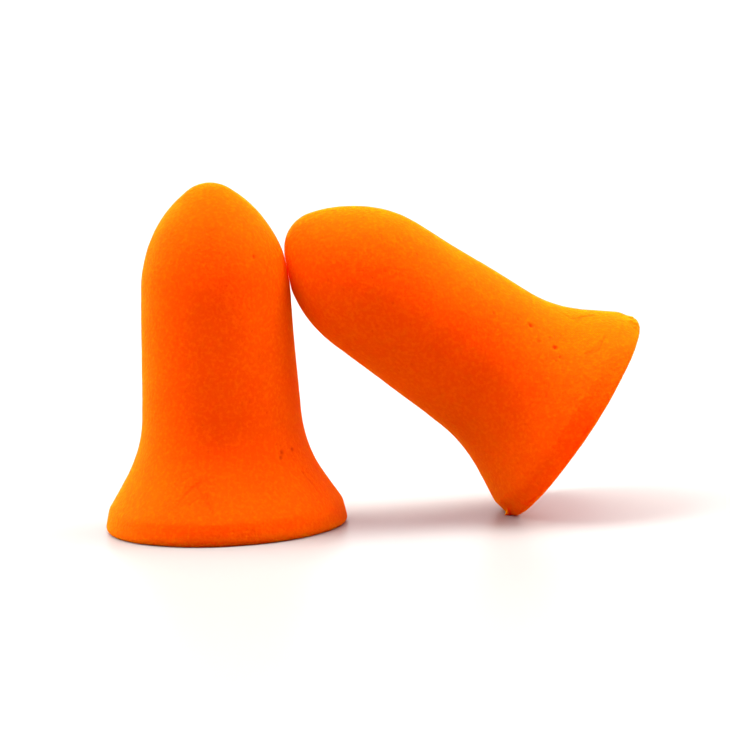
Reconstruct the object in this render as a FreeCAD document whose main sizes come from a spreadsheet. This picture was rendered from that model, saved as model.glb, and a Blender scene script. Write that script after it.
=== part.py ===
"""A pair of bell-shaped foam ear plugs: one stands on its flared end, the other leans its nose against it.

Each plug is one solid piece of slow-recovery polyurethane foam, moulded with a skin of its own, so each is a
plain body of revolution. Both come out of the same mould and share every size. Frame: origin at the centre
of the standing plug's resting face, +Z up along its axis, +X towards the leaning plug, whose axis lies in
the XZ plane. Millimetres and degrees.
"""

import FreeCAD, Part
import Sketcher
import math
import os

OUT = "parts"

# Driving dimensions: alias, value, meaning.
DIMENSIONS = [
    ("plug_length", 25.0, "resting face to tip of the nose"),
    ("rim_radius", 8.55, "largest radius, low on the rim band"),
    ("rim_round", 0.6, "rounding between the resting face and the rim band"),
    ("lip_radius", 8.32, "radius at the top edge of the rim band"),
    ("lip_height", 1.62, "height of that edge"),
    ("lip_round", 0.7, "rounding of that edge"),
    ("flare_angle", 30.3, "slope of the bell's straight flank from the axis"),
    ("waist_arc", 9.8, "radius of the hollow curve from flank to shank"),
    ("shank_taper", 2.8, "slope of the shank's side from the axis"),
    ("shoulder_radius", 5.285, "shank radius where the dome begins"),
    ("shoulder_arc", 9.0, "radius of the side of the dome"),
    ("nose_arc", 2.54, "radius of the rounded tip"),
    ("lean_angle", 52.8, "tilt of the leaning plug's axis from upright"),
    ("touch_gap", 0.1, "space between the two plugs where they meet"),
]


def make_sheet(doc):
    """Write the driving dimensions, one row each, and name their cells."""
    sheet = doc.addObject("Spreadsheet::Sheet", "dims")
    for row, (alias, value, meaning) in enumerate(DIMENSIONS, start=1):
        sheet.set(f"A{row}", meaning)
        sheet.set(f"B{row}", str(value))
        sheet.setAlias(f"B{row}", alias)
    doc.recompute()
    return sheet


def point(radius, height):
    return FreeCAD.Vector(radius, height, 0)


def arc(centre, radius, start, end):
    """An arc, counter-clockwise between two angles in degrees."""
    circle = Part.Circle(centre, FreeCAD.Vector(0, 0, 1), radius)
    return Part.ArcOfCircle(circle, math.radians(start), math.radians(end))


def half_section(body, sheet):
    """Sketch half of a plug's section, radius to the right and height up.

    Each curve starts roughly in place; the tangencies and the sheet's sizes then put it right.
    """
    sketch = body.newObject("Sketcher::SketchObject", body.Name + "_section")
    plane = next(f for f in body.Origin.OriginFeatures if f.Role == "XZ_Plane")
    sketch.AttachmentSupport = [(plane, "")]
    sketch.MapMode = "FlatFace"

    rim_centre = point(sheet.rim_radius - sheet.rim_round, sheet.rim_round)
    foot = point(rim_centre.x, 0)
    rim = point(sheet.rim_radius, sheet.rim_round)
    lip = point(sheet.lip_radius, sheet.lip_height)
    flank_top = point(7.1, 3.8)
    waist_centre = point(15.5, 8.7)
    waist = point(5.7, 8.2)
    shoulder = point(sheet.shoulder_radius, 17.6)
    shoulder_centre = point(-3.7, 17.2)
    tip = point(0, sheet.plug_length)
    nose_centre = point(0, sheet.plug_length - sheet.nose_arc)
    curves = {
        "face": Part.LineSegment(point(0, 0), foot),
        "rim": arc(rim_centre, sheet.rim_round, -90, 13),
        "band": Part.LineSegment(rim, lip),
        "flank": Part.LineSegment(lip, flank_top),
        "waist": arc(waist_centre, sheet.waist_arc, 183, 210),
        "shank": Part.LineSegment(waist, shoulder),
        "shoulder": arc(shoulder_centre, sheet.shoulder_arc, 3, 55),
        "nose": arc(nose_centre, sheet.nose_arc, 55, 90),
        "axis": Part.LineSegment(tip, point(0, 0)),
    }
    at = {name: sketch.addGeometry(curve, False) for name, curve in curves.items()}
    start, end, centre = 1, 2, 3
    origin = (-1, start)
    upright = -2

    for rule in [
        ("Coincident", at["face"], start, *origin),
        ("Horizontal", at["face"]),
        ("Tangent", at["face"], end, at["rim"], start),
        ("Tangent", at["rim"], end, at["band"], start),
        ("Coincident", at["band"], end, at["flank"], start),
        ("Tangent", at["flank"], end, at["waist"], end),
        ("Tangent", at["waist"], start, at["shank"], start),
        ("Tangent", at["shank"], end, at["shoulder"], start),
        ("Tangent", at["shoulder"], end, at["nose"], start),
        ("PointOnObject", at["nose"], centre, upright),
        ("Coincident", at["nose"], end, at["axis"], start),
        ("PointOnObject", at["axis"], start, upright),
        ("Coincident", at["axis"], end, *origin),
    ]:
        sketch.addConstraint(Sketcher.Constraint(*rule))

    # Each size: its name, what it measures, a first value and the sheet's expression for it.
    for name, where, value, formula in [
        ("rim_arc", ("Radius", at["rim"]), sheet.rim_round, "dims.rim_round"),
        ("waist_arc", ("Radius", at["waist"]), sheet.waist_arc, "dims.waist_arc"),
        ("shoulder_arc", ("Radius", at["shoulder"]), sheet.shoulder_arc, "dims.shoulder_arc"),
        ("nose_arc", ("Radius", at["nose"]), sheet.nose_arc, "dims.nose_arc"),
        ("rim_x", ("DistanceX", *origin, at["rim"], centre), rim_centre.x, "dims.rim_radius - dims.rim_round"),
        ("lip_x", ("DistanceX", *origin, at["band"], end), lip.x, "dims.lip_radius"),
        ("lip_y", ("DistanceY", *origin, at["band"], end), lip.y, "dims.lip_height"),
        ("shoulder_x", ("DistanceX", *origin, at["shank"], end), shoulder.x, "dims.shoulder_radius"),
        ("length", ("DistanceY", *origin, at["nose"], end), tip.y, "dims.plug_length"),
        ("flare", ("Angle", at["flank"]), math.radians(120), "90 deg + dims.flare_angle * 1 deg"),
        ("taper", ("Angle", at["shank"]), math.radians(93), "90 deg + dims.shank_taper * 1 deg"),
    ]:
        index = sketch.addConstraint(Sketcher.Constraint(*where, value))
        sketch.renameConstraint(index, name)
        sketch.setExpression(f"Constraints.{name}", formula)
    return sketch, at["shoulder"]


def make_plug(doc, sheet, name):
    """Turn the half section about its own upright line, then ease the edge above the rim band."""
    body = doc.addObject("PartDesign::Body", name)
    body.Label = name
    sketch, shoulder = half_section(body, sheet)
    doc.recompute()

    turned = body.newObject("PartDesign::Revolution", name + "_turned")
    turned.Profile = sketch
    turned.ReferenceAxis = (sketch, ["V_Axis"])
    turned.Angle = 360
    sketch.Visibility = False
    doc.recompute()

    lip = next(
        f"Edge{i}"
        for i, edge in enumerate(turned.Shape.Edges, start=1)
        if isinstance(edge.Curve, Part.Circle) and abs(edge.Curve.Center.z - sheet.lip_height) < 1e-6
    )
    eased = body.newObject("PartDesign::Fillet", name + "_eased")
    eased.Base = (turned, [lip])
    eased.setExpression("Radius", "dims.lip_round")
    doc.recompute()
    return body, sketch.Geometry[shoulder].Center


def lean(body, sheet, shoulder_centre):
    """Tip a plug over towards -X, its rim on the table and the side of its dome on the standing plug's.

    The two shoulder arcs meet, so their centres are two radii and the gap apart, and that sets how far
    out the leaning plug's foot is. The rim's rounding sets how high the centre of its face is.
    """
    angle = math.radians(sheet.lean_angle)
    along = FreeCAD.Vector(-math.sin(angle), 0, math.cos(angle))
    down = FreeCAD.Vector(-math.cos(angle), 0, -math.sin(angle))

    round_centre = (sheet.rim_radius - sheet.rim_round) * down + sheet.rim_round * along
    height = sheet.rim_round - round_centre.z
    reach = shoulder_centre.x * down + shoulder_centre.y * along
    rise = height + reach.z - shoulder_centre.y
    apart = 2 * sheet.shoulder_arc + sheet.touch_gap
    offset = shoulder_centre.x + math.sqrt(apart**2 - rise**2) - reach.x

    body.Placement.Base = FreeCAD.Vector(offset, 0, height)
    body.Placement.Rotation = FreeCAD.Rotation(FreeCAD.Vector(0, -1, 0), sheet.lean_angle)


def check(doc, bodies):
    """Stop before anything is written if an object failed or a shape is empty or broken."""
    failed = [o.Name for o in doc.Objects if {"Invalid", "Error"} & set(o.State)]
    if failed:
        raise RuntimeError(f"failed objects: {failed}")
    for body in bodies:
        if body.Shape.isNull() or not body.Shape.isValid() or len(body.Shape.Solids) != 1:
            raise RuntimeError(f"{body.Label} is not one valid solid")


def main():
    doc = FreeCAD.newDocument("ear_plugs")
    sheet = make_sheet(doc)
    standing, _ = make_plug(doc, sheet, "standing_plug")
    leaning, shoulder_centre = make_plug(doc, sheet, "leaning_plug")
    lean(leaning, sheet, shoulder_centre)
    doc.recompute()
    check(doc, [standing, leaning])

    os.makedirs(OUT, exist_ok=True)
    for body in (standing, leaning):
        body.Shape.exportStep(f"{OUT}/{body.Label}.step")
        box = body.Shape.BoundBox
        print(f"{body.Label}: {box.XLength:.2f} x {box.YLength:.2f} x {box.ZLength:.2f} mm")
    gap = standing.Shape.distToShape(leaning.Shape)[0]
    print(f"volume {standing.Shape.Volume:.0f} mm3 each, gap {gap:.3f} mm")


main()
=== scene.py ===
import math
import random

import bpy
from mathutils import Matrix, Vector


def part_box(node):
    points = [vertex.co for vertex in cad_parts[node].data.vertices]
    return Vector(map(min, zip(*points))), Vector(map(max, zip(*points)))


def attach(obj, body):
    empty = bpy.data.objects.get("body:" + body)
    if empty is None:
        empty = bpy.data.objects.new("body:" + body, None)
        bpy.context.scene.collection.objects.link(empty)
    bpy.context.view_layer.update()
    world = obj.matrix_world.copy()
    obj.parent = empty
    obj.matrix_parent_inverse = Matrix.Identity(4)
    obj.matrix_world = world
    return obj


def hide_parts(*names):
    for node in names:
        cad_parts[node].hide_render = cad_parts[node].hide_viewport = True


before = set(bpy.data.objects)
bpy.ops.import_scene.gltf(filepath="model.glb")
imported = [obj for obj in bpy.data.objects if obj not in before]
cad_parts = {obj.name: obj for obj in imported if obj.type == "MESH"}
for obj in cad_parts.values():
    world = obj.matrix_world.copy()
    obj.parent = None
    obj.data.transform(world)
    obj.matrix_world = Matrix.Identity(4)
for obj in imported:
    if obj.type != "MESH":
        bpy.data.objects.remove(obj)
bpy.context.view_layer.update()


# ---------------------------------------------------------------------------------------------------------
# The mould both plugs come from. A shot of slow-recovery polyurethane is poured into a smooth bell-shaped
# cavity, foams up, and takes a thin skin of its own where it meets the wall. The shape is turned: half a
# section, made of straight runs and arcs that meet smoothly, swept once round the plug's own axis.

MM = 0.001                   # one millimetre, in metres
LENGTH = 25.0 * MM           # resting face to the tip of the nose
RIM_RADIUS = 8.55 * MM       # widest, low on the rim band
RIM_ROUND = 0.35 * MM        # between resting face and band
LIP_RADIUS = 8.32 * MM       # top edge of the band
LIP_HEIGHT = 1.62 * MM
LIP_ROUND = 1.0 * MM
FLARE = math.radians(30.3)   # the bell's flank, from the axis
WAIST_ARC = 9.8 * MM
TAPER = math.radians(2.8)    # the shank's side, from the axis
SHOULDER_RADIUS = 5.285 * MM
SHOULDER_ARC = 9.0 * MM
NOSE_ARC = 2.54 * MM
ARC_STEP = math.radians(1.5)

# The dome is two arcs: the shoulder's runs on from the shank, and the nose's sits inside it on the axis.
shoulder_x = SHOULDER_RADIUS - SHOULDER_ARC * math.cos(TAPER)
nose_z = LENGTH - NOSE_ARC
shoulder_z = nose_z - math.sqrt((SHOULDER_ARC - NOSE_ARC) ** 2 - shoulder_x**2)
shoulder_top = shoulder_z + SHOULDER_ARC * math.sin(TAPER)


def arc(centre_x, centre_z, radius, start, end):
    """Points along an arc from one angle to another, in radians."""
    steps = max(2, math.ceil(abs(end - start) / ARC_STEP))
    angles = [start + (end - start) * i / steps for i in range(steps + 1)]
    return [(centre_x + radius * math.cos(a), centre_z + radius * math.sin(a)) for a in angles]


def half_section():
    """The plug's outline from the centre of its face, round the rim, up the side and over to the tip."""
    # The band leans in from the rim's rounding to the lip: the angle of the line that touches both.
    rim_x = RIM_RADIUS - RIM_ROUND
    run = math.hypot(LIP_RADIUS - rim_x, LIP_HEIGHT - RIM_ROUND)
    band_lean = math.atan2(LIP_HEIGHT - RIM_ROUND, LIP_RADIUS - rim_x) - math.acos(RIM_ROUND / run)

    # The lip's rounding touches the band's line and the flank's line.
    half_turn = (FLARE - band_lean) / 2
    setback = LIP_ROUND * math.tan(half_turn)
    lip_start = (LIP_RADIUS + setback * math.sin(band_lean), LIP_HEIGHT - setback * math.cos(band_lean))
    lip_x = lip_start[0] - LIP_ROUND * math.cos(band_lean)
    lip_z = lip_start[1] - LIP_ROUND * math.sin(band_lean)

    # The waist's arc touches the flank's line and the shank's line, which cross at one corner.
    flank = math.tan(FLARE)
    shank = math.tan(TAPER)
    corner_z = (LIP_RADIUS + flank * LIP_HEIGHT - SHOULDER_RADIUS - shank * shoulder_top) / (flank - shank)
    corner_x = SHOULDER_RADIUS + shank * (shoulder_top - corner_z)
    setback = WAIST_ARC * math.tan((FLARE - TAPER) / 2)
    waist_x = corner_x - setback * math.sin(TAPER) + WAIST_ARC * math.cos(TAPER)
    waist_z = corner_z + setback * math.cos(TAPER) + WAIST_ARC * math.sin(TAPER)

    nose_join = math.atan2(nose_z - shoulder_z, -shoulder_x)
    return [
        (0, 0),
        *arc(rim_x, RIM_ROUND, RIM_ROUND, -math.pi / 2, band_lean),
        *arc(lip_x, lip_z, LIP_ROUND, band_lean, FLARE),
        *arc(waist_x, waist_z, WAIST_ARC, math.pi + FLARE, math.pi + TAPER),
        *arc(shoulder_x, shoulder_z, SHOULDER_ARC, TAPER, nose_join),
        *arc(0, nose_z, NOSE_ARC, nose_join, math.pi / 2),
    ]


def line_object(name, runs):
    """A curve object of straight-edged runs of points."""
    curve = bpy.data.curves.new(name, "CURVE")
    curve.dimensions = "3D"
    for points in runs:
        spline = curve.splines.new("POLY")
        spline.points.add(len(points) - 1)
        for spot, point in zip(spline.points, points):
            spot.co = (*point, 1)
    made = bpy.data.objects.new(name, curve)
    bpy.context.collection.objects.link(made)
    return made


outline = line_object("half_section", [[(x, 0, z) for x, z in half_section()]])


def side_radius(height):
    """How far the plug's side is from its axis at a height."""
    section = half_section()
    for (x0, z0), (x1, z1) in zip(section[1:], section[2:]):
        if z0 <= height <= z1:
            return x0 + (x1 - x0) * (height - z0) / max(z1 - z0, 1e-9)
    return 0


def on_side(angle, height):
    """The point on the plug's side at an angle in degrees about its axis and a height in millimetres."""
    turn = math.radians(angle)
    radius = side_radius(height * MM)
    return Vector((radius * math.cos(turn), radius * math.sin(turn), height * MM))


def add(tree, kind, inputs=None, **settings):
    """Add a node to a tree. An input is given a value, or the socket that feeds it."""
    made = tree.nodes.new(kind)
    for name, value in settings.items():
        setattr(made, name, value)
    for name, value in (inputs or {}).items():
        if isinstance(value, bpy.types.NodeSocket):
            tree.links.new(value, made.inputs[name])
        else:
            made.inputs[name].default_value = value
    return made


# ---------------------------------------------------------------------------------------------------------
# The foam. It is dyed right through and soft-skinned: matte like felt, and light goes a few millimetres
# into it, far more in red than in green, so it glows red in the shade and goes amber where it is bright.

def srgb(code):
    """A hex colour as linear red, green, blue and alpha."""
    values = [int(code[i : i + 2], 16) / 255 for i in (0, 2, 4)]
    return [v / 12.92 if v <= 0.04045 else ((v + 0.055) / 1.055) ** 2.4 for v in values] + [1.0]


TOUCH_GLOW = 0.35            # painted glow where the plugs touch, as emission


def foam_material():
    """Slow-recovery polyurethane foam, skinned in the mould: soft, velvety and finely pitted."""
    material = bpy.data.materials.new("slow_recovery_polyurethane_foam")
    material.use_nodes = True
    tree = material.node_tree
    tree.nodes.clear()
    place = add(tree, "ShaderNodeTexCoord").outputs["Object"]

    # Clouding 3 mm across, where the dye and the cells are a little uneven, and mottling of 0.28 mm.
    cloud = add(tree, "ShaderNodeTexNoise", {"Vector": place, "Scale": 1 / (3.0 * MM), "Detail": 2.0})
    mottle = add(tree, "ShaderNodeTexNoise", {"Vector": place, "Scale": 1 / (0.28 * MM), "Detail": 3.0})
    clouded = add(
        tree, "ShaderNodeMix",
        {"Factor": cloud.outputs["Fac"], "A": srgb("D94800"), "B": srgb("E25400")},
        data_type="RGBA",
    )
    speckle = add(
        tree, "ShaderNodeMapRange",
        {"Value": mottle.outputs["Fac"], "From Min": 0.45, "From Max": 0.75, "To Min": 0.0, "To Max": 0.38},
    )
    mottled = add(
        tree, "ShaderNodeMix",
        {"Factor": speckle.outputs["Result"], "A": clouded.outputs["Result"], "B": srgb("EE7000")},
        data_type="RGBA",
    )
    # Pits, dents and creases get a darker red painted in: painted shade in the recesses.
    pit = add(tree, "ShaderNodeAttribute", attribute_name="pit").outputs["Fac"]
    coloured = add(
        tree, "ShaderNodeMix",
        {"Factor": pit, "A": mottled.outputs["Result"], "B": srgb("B42C00")},
        data_type="RGBA",
    )

    # Where the plugs touch, light reaches the seam only through the foam, and comes out red. It isn't
    # carried from one plug on into the other here, so a red glow painted into the colour and a weak emitted
    # glow stand in for it.
    touch = add(tree, "ShaderNodeAttribute", attribute_name="touch").outputs["Fac"]
    painted_red_glow = add(
        tree, "ShaderNodeMix",
        {"Factor": touch, "A": coloured.outputs["Result"], "B": srgb("DC1000")},
        data_type="RGBA",
    )
    glow = add(tree, "ShaderNodeMath", {0: touch, 1: TOUCH_GLOW}, operation="MULTIPLY")

    # Burst cells 0.22 mm across in the skin, over a soft grain of 0.3 mm.
    cells = add(tree, "ShaderNodeTexVoronoi", {"Vector": place, "Scale": 1 / (0.22 * MM)})
    grain = add(tree, "ShaderNodeTexNoise", {"Vector": place, "Scale": 1 / (0.3 * MM), "Detail": 3.0})
    surface = add(
        tree, "ShaderNodeMath", {0: cells.outputs["Distance"], 1: grain.outputs["Fac"]}, operation="ADD"
    )
    bump = add(
        tree, "ShaderNodeBump", {"Height": surface.outputs[0], "Strength": 0.7, "Distance": 0.05 * MM}
    )
    rough = add(
        tree, "ShaderNodeMapRange", {"Value": mottle.outputs["Fac"], "To Min": 0.72, "To Max": 0.92}
    )
    foam = add(
        tree, "ShaderNodeBsdfPrincipled",
        {
            "Base Color": painted_red_glow.outputs["Result"],
            "Roughness": rough.outputs["Result"],
            "Normal": bump.outputs["Normal"],
            "IOR": 1.5,
            "Specular IOR Level": 0.01,
            "Subsurface Weight": 1.0,
            "Subsurface Radius": (1.0, 0.12, 0.04),
            "Subsurface Scale": 3.5 * MM,
            "Emission Color": srgb("F00400"),
            "Emission Strength": glow.outputs[0],
            "Sheen Weight": 0.1,
            "Sheen Roughness": 0.42,
            "Sheen Tint": (1.0, 0.9, 0.0, 1.0),
        },
    )
    add(tree, "ShaderNodeOutputMaterial", {"Surface": foam.outputs["BSDF"]})
    return material


foam = foam_material()


# ---------------------------------------------------------------------------------------------------------
# The moulding, as a rule. The half section is swept round, then the foam's own faults are laid on it: lumps
# from uneven rise, a faint orange peel, pores where bubbles burst, dents, creases and flash at the rim, and
# flats where the plug presses on its neighbour and on the table.

SEED_STEP = 7.31             # from one seed to the next, along the noise's fourth way
PORE_SHADE = 0.3             # how much of the painted pit shade a pore gets
# CREASE_SHADE: how much of the painted pit shade a crease gets
CREASE_SHADE = 0.45
TOUCH_FALL = 10.0            # how much tighter the painted red spot is than the pressing
PRESS_EDGE = 0.03 * MM       # softness of the pressed flat's edge
PRESS_SPAN = 6.0 * MM        # how far round the touching point the neighbour can stop the foam
FOOT_EDGE = 0.01 * MM        # softness of the edge on the table
TABLE_SPAN = 1.0             # the table stops all of it


def moulding_tree():
    """The rule as a tree of nodes: it takes a half section, marks and creases, and gives a whole plug."""
    tree = bpy.data.node_groups.new("moulded_plug", "GeometryNodeTree")
    for name, kind, value in [
        ("Outline", "Object", None),
        ("Marks", "Object", None),
        ("Creases", "Object", None),
        ("Rings", "Int", 276),
        ("Steps Round", "Int", 356),
        ("Rim Growth", "Float", 0.0),
        ("Rim Reach", "Float", 6.0 * MM),
        ("Face Tilt", "Float", 0.0),
        ("Nose Drift", "Vector", (0, 0, 0)),
        ("Lump Height", "Float", 0.05 * MM),
        ("Lump Size", "Float", 6.0 * MM),
        ("Peel Height", "Float", 0.012 * MM),
        ("Peel Size", "Float", 0.8 * MM),
        ("Pores per Square Metre", "Float", 0.35 / MM**2),
        ("Pore Radius", "Float", 0.16 * MM),
        ("Pore Depth", "Float", 0.06 * MM),
        ("Crease Width", "Float", 0.17 * MM),
        ("Crease Depth", "Float", 0.05 * MM),
        ("Press Point", "Vector", None),
        ("Press Way", "Vector", None),
        ("Press Reach", "Float", 0.14 * MM),
        ("Press Spread", "Float", 4.0 * MM),
        ("Table Point", "Vector", None),
        ("Table Way", "Vector", None),
        ("Seed", "Int", 1),
    ]:
        socket = tree.interface.new_socket(name, in_out="INPUT", socket_type=f"NodeSocket{kind}")
        if value is not None:
            socket.default_value = value
    tree.interface.new_socket("Plug", in_out="OUTPUT", socket_type="NodeSocketGeometry")
    given = add(tree, "NodeGroupInput").outputs

    def maths(operation, *values):
        return add(tree, "ShaderNodeMath", dict(enumerate(values)), operation=operation).outputs[0]

    def vectors(operation, *values):
        made = add(tree, "ShaderNodeVectorMath", operation=operation)
        for i, value in enumerate(values):
            if operation == "SCALE" and i == 1:
                i = 3
            if isinstance(value, bpy.types.NodeSocket):
                tree.links.new(value, made.inputs[i])
            else:
                made.inputs[i].default_value = value
        return made.outputs["Value" if operation in {"DOT_PRODUCT", "LENGTH", "DISTANCE"} else "Vector"]

    def moved(geometry, offset):
        return add(tree, "GeometryNodeSetPosition", {"Geometry": geometry, "Offset": offset}).outputs[0]

    def along_normal(geometry, height):
        normal = add(tree, "GeometryNodeInputNormal").outputs[0]
        return moved(geometry, vectors("SCALE", normal, height))

    # Sweep: a flat grid's two ways become the turn about the axis and the way along the half section.
    columns = maths("ADD", given["Steps Round"], 1)
    grid = add(
        tree, "GeometryNodeMeshGrid",
        {"Size X": 1.0, "Size Y": 1.0, "Vertices X": columns, "Vertices Y": given["Rings"]},
    )
    flat = add(tree, "GeometryNodeInputPosition").outputs[0]
    flat_ways = add(tree, "ShaderNodeSeparateXYZ", {0: flat}).outputs
    turn = maths("MULTIPLY", maths("ADD", flat_ways["X"], 0.5), math.tau)
    along = maths("ADD", flat_ways["Y"], 0.5)
    section = add(tree, "GeometryNodeObjectInfo", {"Object": given["Outline"]}).outputs["Geometry"]
    on_section = add(tree, "GeometryNodeSampleCurve", {"Curves": section, "Factor": along}, mode="FACTOR")
    section_ways = add(tree, "ShaderNodeSeparateXYZ", {0: on_section.outputs["Position"]}).outputs
    swept_place = add(
        tree, "ShaderNodeCombineXYZ",
        {
            "X": maths("MULTIPLY", section_ways["X"], maths("COSINE", turn)),
            "Y": maths("MULTIPLY", section_ways["X"], maths("SINE", turn)),
            "Z": section_ways["Z"],
        },
    ).outputs[0]
    swept = add(
        tree, "GeometryNodeSetPosition", {"Geometry": grid.outputs["Mesh"], "Position": swept_place}
    ).outputs[0]
    closed = add(
        tree, "GeometryNodeMergeByDistance", {"Geometry": swept, "Distance": 0.002 * MM}
    ).outputs[0]
    smooth = add(tree, "GeometryNodeSetShadeSmooth", {"Geometry": closed}).outputs[0]

    place = add(tree, "GeometryNodeInputPosition").outputs[0]
    ways = add(tree, "ShaderNodeSeparateXYZ", {0: place}).outputs

    # Rim growth: some shots swell more at the mouth of the mould, fading out towards the waist.
    outwards = vectors("NORMALIZE", vectors("MULTIPLY", place, (1.0, 1.0, 0.0)))
    low_down = add(
        tree, "ShaderNodeMapRange",
        {"Value": ways["Z"], "From Min": given["Rim Reach"], "From Max": 0.0, "To Min": 0.0, "To Max": 1.0},
        interpolation_type="SMOOTHSTEP",
    ).outputs["Result"]
    from_axis = vectors("LENGTH", vectors("MULTIPLY", place, (1.0, 1.0, 0.0)))
    share = maths("MINIMUM", maths("DIVIDE", from_axis, RIM_RADIUS), 1.0)
    growth = maths("MULTIPLY", maths("MULTIPLY", low_down, share), given["Rim Growth"])
    grown = moved(smooth, vectors("SCALE", outwards, growth))

    # Face tilt: the resting face was cut a little out of square, high on one side and low on the other.
    tilt_here = maths("MULTIPLY", low_down, given["Face Tilt"])
    rise = maths("MULTIPLY", tilt_here, maths("DIVIDE", ways["X"], RIM_RADIUS))
    tilted = moved(grown, add(tree, "ShaderNodeCombineXYZ", {"Z": rise}).outputs[0])

    # Nose drift: the foam pulls a little to one side as it sets, more and more towards the tip.
    high_up = add(
        tree, "ShaderNodeMapRange",
        {"Value": ways["Z"], "From Min": LENGTH / 2, "From Max": LENGTH},
        interpolation_type="SMOOTHSTEP",
    ).outputs["Result"]
    drifted = moved(tilted, vectors("SCALE", given["Nose Drift"], high_up))

    # Lumps and orange peel.
    seed = maths("MULTIPLY", given["Seed"], SEED_STEP)

    def noise(size, detail):
        made = add(
            tree, "ShaderNodeTexNoise",
            {"Vector": place, "W": seed, "Scale": maths("DIVIDE", 1.0, size), "Detail": detail},
            noise_dimensions="4D",
        )
        return maths("SUBTRACT", made.outputs["Fac"], 0.5)

    lumps = maths("MULTIPLY", noise(given["Lump Size"], 1.0), maths("MULTIPLY", given["Lump Height"], 4.0))
    peel = maths("MULTIPLY", noise(given["Peel Size"], 2.0), maths("MULTIPLY", given["Peel Height"], 4.0))
    uneven = along_normal(drifted, maths("ADD", lumps, peel))

    # Pores: burst bubbles, scattered at random, each a round pit of its own size.
    scattered = add(
        tree, "GeometryNodeDistributePointsOnFaces",
        {"Mesh": uneven, "Density": given["Pores per Square Metre"], "Seed": given["Seed"]},
    ).outputs["Points"]
    pore_scale = add(
        tree, "FunctionNodeRandomValue", {"Min": 0.35, "Max": 1.0, "Seed": given["Seed"]}, data_type="FLOAT"
    ).outputs["Value"]
    pore_radius = maths("MULTIPLY", pore_scale, given["Pore Radius"])
    sized = add(
        tree, "GeometryNodeStoreNamedAttribute",
        {"Geometry": scattered, "Name": "size", "Value": pore_radius},
    ).outputs[0]
    pore_floor = maths("MULTIPLY", pore_scale, given["Pore Depth"])
    pores = add(
        tree, "GeometryNodeStoreNamedAttribute", {"Geometry": sized, "Name": "depth", "Value": pore_floor}
    ).outputs[0]
    marks = add(tree, "GeometryNodeObjectInfo", {"Object": given["Marks"]}).outputs["Geometry"]

    def nearest(points, name, kind):
        """What the nearest of some points holds: its place, or a number stored on it."""
        index = add(tree, "GeometryNodeSampleNearest", {"Geometry": points}).outputs["Index"]
        if kind == "FLOAT_VECTOR":
            value = add(tree, "GeometryNodeInputPosition").outputs[0]
        else:
            value = add(tree, "GeometryNodeInputNamedAttribute", {"Name": name}).outputs["Attribute"]
        made = add(
            tree, "GeometryNodeSampleIndex", {"Geometry": points, "Value": value, "Index": index},
            data_type=kind,
        )
        return made.outputs["Value"]

    def bowl(points):
        """How deep a round pit round each point is here, and how far into it this spot is."""
        away = vectors("DISTANCE", place, nearest(points, "", "FLOAT_VECTOR"))
        off_centre = maths("DIVIDE", away, nearest(points, "size", "FLOAT"))
        inside = add(
            tree, "ShaderNodeMapRange", {"Value": off_centre, "From Min": 1.0, "From Max": 0.0},
            interpolation_type="SMOOTHSTEP",
        ).outputs["Result"]
        return maths("MULTIPLY", inside, nearest(points, "depth", "FLOAT")), inside

    pore_depth, in_pore = bowl(pores)
    mark_depth, in_mark = bowl(marks)
    crease_lines = add(
        tree, "GeometryNodeCurveToMesh",
        {"Curve": add(tree, "GeometryNodeObjectInfo", {"Object": given["Creases"]}).outputs["Geometry"]},
    ).outputs[0]
    from_crease = add(
        tree, "GeometryNodeProximity", {"Geometry": crease_lines}, target_element="EDGES"
    ).outputs["Distance"]
    in_crease = add(
        tree, "ShaderNodeMapRange",
        {"Value": maths("DIVIDE", from_crease, given["Crease Width"]), "From Min": 1.0, "From Max": 0.0},
        interpolation_type="SMOOTHSTEP",
    ).outputs["Result"]
    crease_depth = maths("MULTIPLY", in_crease, given["Crease Depth"])
    depth = maths("ADD", maths("ADD", pore_depth, mark_depth), crease_depth)

    # Painted shade: what is dug into the skin (pores, dents and creases) gets a darker red painted into its
    # colour. Flash stands out, so it gets none.
    dark_pore = maths("MULTIPLY", in_pore, PORE_SHADE)
    dark_mark = maths("MULTIPLY", in_mark, maths("GREATER_THAN", mark_depth, 0.0))
    dark_crease = maths("MULTIPLY", in_crease, CREASE_SHADE)
    dug_shade = maths("MAXIMUM", maths("MAXIMUM", dark_pore, dark_mark), dark_crease)
    with_painted_shade = add(
        tree, "GeometryNodeStoreNamedAttribute", {"Geometry": uneven, "Name": "pit", "Value": dug_shade}
    ).outputs[0]
    marked = along_normal(with_painted_shade, maths("MULTIPLY", depth, -1.0))

    # Pressing: near the touching point the foam is drawn out to its neighbour, then stops flat at it.
    gap = vectors("DISTANCE", place, given["Press Point"])
    spread = maths("POWER", maths("DIVIDE", gap, given["Press Spread"]), 2.0)
    near = maths("EXPONENT", maths("MULTIPLY", spread, -1.0))
    # Touch: a tight spot round the touching point, where a red glow is painted into the foam's colour.
    lit = add(
        tree, "GeometryNodeStoreNamedAttribute",
        {"Geometry": marked, "Name": "touch", "Value": maths("POWER", near, TOUCH_FALL)},
    ).outputs[0]
    drawn = moved(lit, vectors("SCALE", given["Press Way"], maths("MULTIPLY", near, given["Press Reach"])))

    def stopped(geometry, point, way, softness, reach):
        """Nothing within reach of a point goes further than it along a way."""
        over = vectors("DOT_PRODUCT", vectors("SUBTRACT", place, point), way)
        limit = maths("SMOOTH_MIN", over, 0.0, softness)
        within = maths("LESS_THAN", vectors("DISTANCE", place, point), reach)
        back = maths("MULTIPLY", maths("SUBTRACT", limit, over), within)
        return moved(geometry, vectors("SCALE", way, back))

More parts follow.
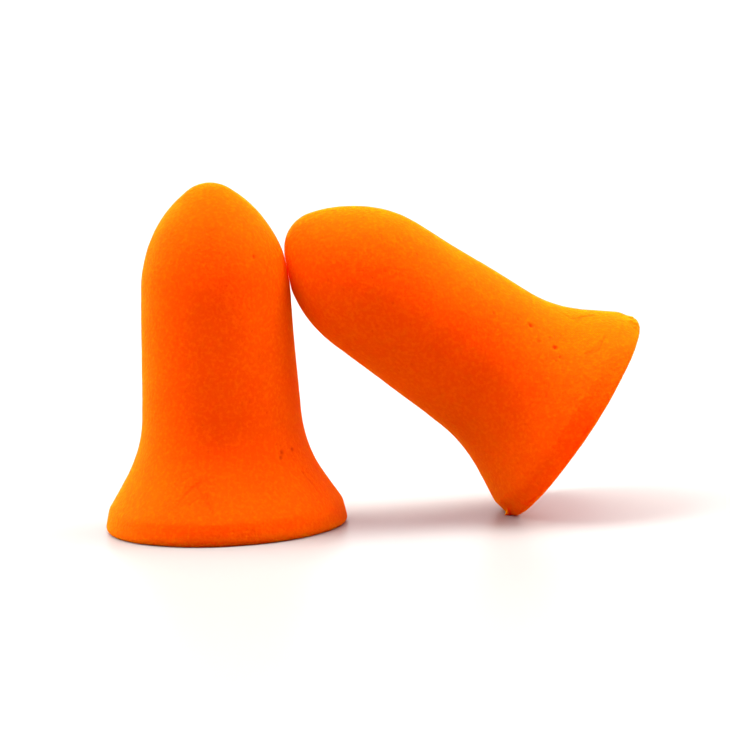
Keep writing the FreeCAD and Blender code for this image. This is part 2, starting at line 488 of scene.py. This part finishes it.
    pressed = stopped(drawn, given["Press Point"], given["Press Way"], PRESS_EDGE, PRESS_SPAN)
    rested = stopped(pressed, given["Table Point"], given["Table Way"], FOOT_EDGE, TABLE_SPAN)
    real = add(tree, "GeometryNodeRealizeInstances", {"Geometry": rested}).outputs[0]
    finished = add(tree, "GeometryNodeSetMaterial", {"Geometry": real, "Material": foam}).outputs[0]
    add(tree, "NodeGroupOutput", {"Plug": finished})
    return tree


moulding = moulding_tree()


def marks_object(name, marks):
    """Loose points with a size and a depth each: dents are dug in, and flash stands out."""
    mesh = bpy.data.meshes.new(name)
    mesh.from_pydata([place for place, _, _ in marks], [], [])
    for attribute, column in (("size", 1), ("depth", 2)):
        values = mesh.attributes.new(attribute, "FLOAT", "POINT")
        values.data.foreach_set("value", [mark[column] for mark in marks])
    made = bpy.data.objects.new(name, mesh)
    bpy.context.collection.objects.link(made)
    return made


def dent(angle, height, radius, depth):
    """A dent at an angle in degrees and a height, radius and depth in millimetres."""
    return (on_side(angle, height), radius * MM, depth * MM)


def flash(rng, first, last, count, height, size):
    """Ragged scraps of foam along the rim between two angles, where the mould's halves let some out."""
    scraps = []
    for _ in range(count):
        angle = rng.uniform(first, last)
        scraps.append(dent(angle, height + rng.uniform(-0.2, 0.25), size * rng.uniform(0.6, 1.2),
                           -size * rng.uniform(0.2, 0.7)))
    return scraps


def mould_plug(name, marks, creases, place, **sizes):
    """Mould one plug in its own upright frame, then set it in its place."""
    host = bpy.data.objects.new(name, bpy.data.meshes.new(name + "_blank"))
    bpy.context.collection.objects.link(host)
    spots = marks_object(name + "_marks", marks)
    lines = line_object(name + "_creases", [[on_side(*spot) for spot in run] for run in creases])
    back = place.inverted()
    sizes |= {
        "Outline": outline,
        "Marks": spots,
        "Creases": lines,
        "Press Point": back @ sizes["Press Point"],
        "Press Way": back.to_3x3() @ sizes["Press Way"],
        "Table Point": back @ Vector((0, 0, 0)),
        "Table Way": back.to_3x3() @ Vector((0, 0, -1)),
    }
    modifier = host.modifiers.new("moulding", "NODES")
    modifier.node_group = moulding
    inputs = [item for item in moulding.interface.items_tree if item.in_out == "INPUT"]
    sockets = {item.name: item.identifier for item in inputs}
    for size, value in sizes.items():
        modifier[sockets[size]] = value
    evaluated = host.evaluated_get(bpy.context.evaluated_depsgraph_get())
    mesh = bpy.data.meshes.new_from_object(evaluated)
    host.modifiers.remove(modifier)
    mesh.name = name
    mesh.transform(place)
    host.data = mesh
    for spare in (spots, lines):
        bpy.data.objects.remove(spare)
    return host


# ---------------------------------------------------------------------------------------------------------
# Where the two plugs meet. The leaning one lies over with its rim on the table, and the side of its dome
# rests on the side of the standing one's. Both give a little, so they meet on a small flat between them.

LEAN = math.radians(52.8)
SLACK = 0.01 * MM             # left between the two flats
PLAIN_ROUND = 0.6 * MM        # the rim's rounding on the plain model that this one stands on

lean_axis = Vector((-math.sin(LEAN), 0, math.cos(LEAN)))
lean_down = Vector((-math.cos(LEAN), 0, -math.sin(LEAN)))
lowest, highest = (Vector(corner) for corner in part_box("leaning_plug"))
arc_out = RIM_RADIUS - PLAIN_ROUND
lean_base = Vector((
    highest.x - arc_out * math.cos(LEAN) + PLAIN_ROUND * math.sin(LEAN) - PLAIN_ROUND,
    0,
    lowest.z + PLAIN_ROUND + arc_out * math.sin(LEAN) - PLAIN_ROUND * math.cos(LEAN),
))
shoulder_here = Vector((shoulder_x, 0, shoulder_z))
shoulder_there = lean_base + lean_down * shoulder_x + lean_axis * shoulder_z
press_way = (shoulder_there - shoulder_here).normalized()
press_point = (shoulder_here + shoulder_there) / 2


# ---------------------------------------------------------------------------------------------------------
# The standing plug: one piece of foam, on its flared end. It swelled a little at the rim, its flank is
# creased where it was squeezed out of the mould, and three small dents sit together above the flare.

standing_creases = [
    [(-97.2, 2.3), (-99.5, 3.1), (-101.0, 3.7)],
    [(-106.9, 4.1), (-101.7, 3.3), (-97.3, 2.4)],
    [(-111.3, 2.8), (-106.0, 3.3), (-102.3, 3.4)],
    [(-110.0, 2.3), (-110.3, 1.3)],
    [(-100.4, 1.9), (-97.1, 1.3)],
    [(-117.1, 2.8), (-112.5, 3.7), (-105.0, 4.4)],
    [(-108.5, 2.2), (-101.4, 2.1), (-94.6, 1.5)],
    [(-35.4, 4.3), (-32.2, 3.5), (-30.9, 2.8)],
    [(angle, 1.1 + 0.05 * math.sin(angle * 0.3)) for angle in range(-172, -118, 3)],
    [(angle, 1.05 + 0.06 * math.sin(angle * 0.2)) for angle in range(-112, -8, 3)],
]
standing_marks = [
    dent(-54.0, 20.0, 0.22, 0.10),
    dent(-47.4, 5.9, 0.28, 0.05),
    dent(-36.6, 5.95, 0.24, 0.04),
    dent(-49.4, 5.55, 0.26, 0.05),
    dent(-67.3, 2.85, 0.14, -0.04),
    dent(-70.4, 7.1, 0.12, -0.03),
    *flash(random.Random(11), 0, 360, 26, 0.5, 0.16),
]
standing = mould_plug(
    "standing_foam_plug", standing_marks, standing_creases, Matrix.Identity(4),
    **{
        "Rim Growth": 0.15 * MM,
        "Nose Drift": Vector((-0.09, 0, 0)) * MM,
        "Press Point": press_point - press_way * SLACK / 2,
        "Press Way": press_way,
        "Seed": 3,
    },
)
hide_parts("standing_plug")
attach(standing, "standing_plug")


# ---------------------------------------------------------------------------------------------------------
# The leaning plug: a second shot from the same mould, a little smaller at the rim. Bubbles burst along the
# top of its flare, and scraps of flash stand out at the two ends of the rim that are cut last.

TRIM = -0.13 * MM             # how much smaller its rim is
SWING = math.radians(1.5)     # how far its rim is swung back about the touching point
SINK = 0.10 * MM              # how far its foot is squashed on the table

leaning_marks = [
    dent(-45.4, 7.3, 0.26, 0.16),
    dent(-53.6, 5.1, 0.26, 0.16),
    dent(-54.1, 6.3, 0.17, 0.10),
    dent(-47.5, 5.7, 0.16, 0.09),
    dent(-58.3, 4.5, 0.16, 0.09),
    dent(-61.7, 4.6, 0.13, 0.07),
    dent(-46.3, 8.3, 0.13, 0.07),
    dent(-53.5, 10.0, 0.14, 0.07),
    dent(-67.4, 1.4, 0.14, 0.07),
    dent(-135.8, 1.45, 0.15, 0.07),
    dent(-45.3, 16.9, 0.10, 0.05),
    dent(-83.0, 18.8, 0.10, 0.05),
    dent(-166.0, 0.5, 0.36, -0.70),
    dent(-161.0, 0.7, 0.30, -0.55),
    *flash(random.Random(5), -16, 6, 10, 0.8, 0.34),
    *flash(random.Random(6), -195, -160, 9, 0.6, 0.26),
    *flash(random.Random(7), 0, 360, 22, 0.5, 0.15),
]
leaning_creases = [
    [(-14.3, 4.1), (-21.9, 4.8), (-18.6, 5.4)],
    [(-12.0, 3.6), (-17.0, 4.3), (-24.0, 4.5)],
    [(-33.7, 2.5), (-45.1, 2.5), (-50.5, 3.1)],
]
lean_place = (
    Matrix.Translation(press_point)
    @ Matrix.Rotation(SWING, 4, "Z")
    @ Matrix.Translation(lean_base - press_point + Vector((0, 0, TRIM * math.sin(LEAN) - SINK)))
    @ Matrix.Rotation(LEAN, 4, Vector((0, -1, 0)))
)
leaning = mould_plug(
    "leaning_foam_plug", leaning_marks, leaning_creases, lean_place,
    **{
        "Rim Growth": TRIM,
        "Face Tilt": 0.15 * MM,
        "Press Point": press_point + press_way * SLACK / 2,
        "Press Way": -press_way,
        "Seed": 8,
    },
)
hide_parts("leaning_plug")
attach(leaning, "leaning_plug")
bpy.data.objects.remove(outline)


# ---------------------------------------------------------------------------------------------------------
# The table: a wide sheet of pale laminate with a weak, blurred gloss. It isn't part of the object.

TABLE_HALF = 1.5             # metres from its middle to each side


def laminate_material():
    """Pale grey melamine laminate: matt, with a faint mirror. The roof's light takes it up to white."""
    material = bpy.data.materials.new("pale_melamine_laminate")
    material.use_nodes = True
    tree = material.node_tree
    tree.nodes.clear()
    laminate = add(
        tree, "ShaderNodeBsdfPrincipled",
        {"Base Color": srgb("949494"), "Roughness": 0.35, "Specular IOR Level": 0.12, "IOR": 1.5},
    )
    add(tree, "ShaderNodeOutputMaterial", {"Surface": laminate.outputs["BSDF"]})
    return material


table_mesh = bpy.data.meshes.new("table")
corners = [(x * TABLE_HALF, y * TABLE_HALF, 0) for x, y in ((-1, -1), (1, -1), (1, 1), (-1, 1))]
table_mesh.from_pydata(corners, [], [(0, 1, 2, 3)])
table_mesh.materials.append(laminate_material())
table = bpy.data.objects.new("table", table_mesh)
bpy.context.collection.objects.link(table)


# ---------------------------------------------------------------------------------------------------------
# The light: a product tent. Wide, soft panels stand all round and overhead, and the roof's are brightest.
# The two low ones behind the viewer are dim and deep red: they stand in for the red light that the foam
# sends back towards the eye, and tint the shadows pink.

PANEL_WIDTH = math.radians(40)   # across each panel, as the object sees it


def panel(name, way, light):
    """Even light from all over one far panel: which way it is, and its red, green and blue."""
    strength = max(light)
    lamp = bpy.data.lights.new(name, "SUN")
    lamp.energy = math.pi * strength
    lamp.color = [channel / strength for channel in light]
    lamp.angle = PANEL_WIDTH
    made = bpy.data.objects.new(name, lamp)
    made.matrix_world = Vector(way).to_track_quat("Z", "Y").to_matrix().to_4x4()
    bpy.context.collection.objects.link(made)


panel("roof_left", (-0.6, 0, 1), (1.26, 1.30, 1.26))
panel("roof_right", (0.6, 0, 1), (1.22, 1.26, 1.22))
panel("roof_back", (0, 0.3, 1), (1.05, 1.16, 1.06))
panel("left", (-1, 0, 0.3), (0.28, 0.36, 0.34))
panel("left_back", (-1, 0.9, 0.4), (0.64, 0.68, 0.62))
panel("right", (1, 0, 0.3), (0.54, 0.56, 0.54))
panel("right_back", (1, 0.9, 0.4), (0.50, 0.32, 0.34))
panel("back", (0, 1, 0.35), (0.22, 0.18, 0.18))
panel("left_front", (-1, -1, 0.4), (0.19, 0.01, 0.02))
panel("right_front", (1, -1, 0.4), (0.25, 0.01, 0.03))

# The tent's own walls are seen as plain white, but light the plugs only faintly, and in red.
world = bpy.data.worlds.new("tent")
bpy.context.scene.world = world
world.use_nodes = True
world.node_tree.nodes.clear()
seen = add(world.node_tree, "ShaderNodeLightPath").outputs["Is Camera Ray"]
glow = add(
    world.node_tree, "ShaderNodeMix",
    {"Factor": seen, "A": (0.15, 0.05, 0.05, 1), "B": (1.2, 1.2, 1.2, 1)},
    data_type="RGBA",
)
backdrop = add(world.node_tree, "ShaderNodeBackground", {"Color": glow.outputs["Result"]})
add(world.node_tree, "ShaderNodeOutputWorld", {"Surface": backdrop.outputs[0]})


# ---------------------------------------------------------------------------------------------------------
# The camera: a long lens low over the table, turned a little to the left of square-on and rolled a little,
# so that the standing plug's nose leans left in the frame.

LENS = 273.74                 # focal length on the sensor below, both in their usual mm
FILM = 36.0
VIEW_DISTANCE = 400 * MM
VIEW_UP = math.radians(8.73)
VIEW_TURN = math.radians(-1.44)
VIEW_ROLL = math.radians(-2.68)
VIEW_AIM = Vector((10.51, -0.26, 11.25)) * MM

camera_data = bpy.data.cameras.new("camera")
camera_data.sensor_width = FILM
camera_data.lens = LENS
camera_data.clip_start = 0.01
camera_data.clip_end = 10
camera = bpy.data.objects.new("camera", camera_data)
bpy.context.collection.objects.link(camera)
bpy.context.scene.camera = camera

back = Matrix.Rotation(VIEW_TURN, 3, "Z") @ Vector((0, -math.cos(VIEW_UP), math.sin(VIEW_UP)))
level = Matrix.Rotation(VIEW_TURN, 3, "Z") @ Vector((1, 0, 0))
upright = back.cross(level)
right = math.cos(VIEW_ROLL) * level + math.sin(VIEW_ROLL) * upright
up = back.cross(right)
turned = Matrix((right, up, back)).transposed()
camera.matrix_world = Matrix.Translation(VIEW_AIM + back * VIEW_DISTANCE) @ turned.to_4x4()

bpy.context.scene.view_settings.view_transform = "Standard"
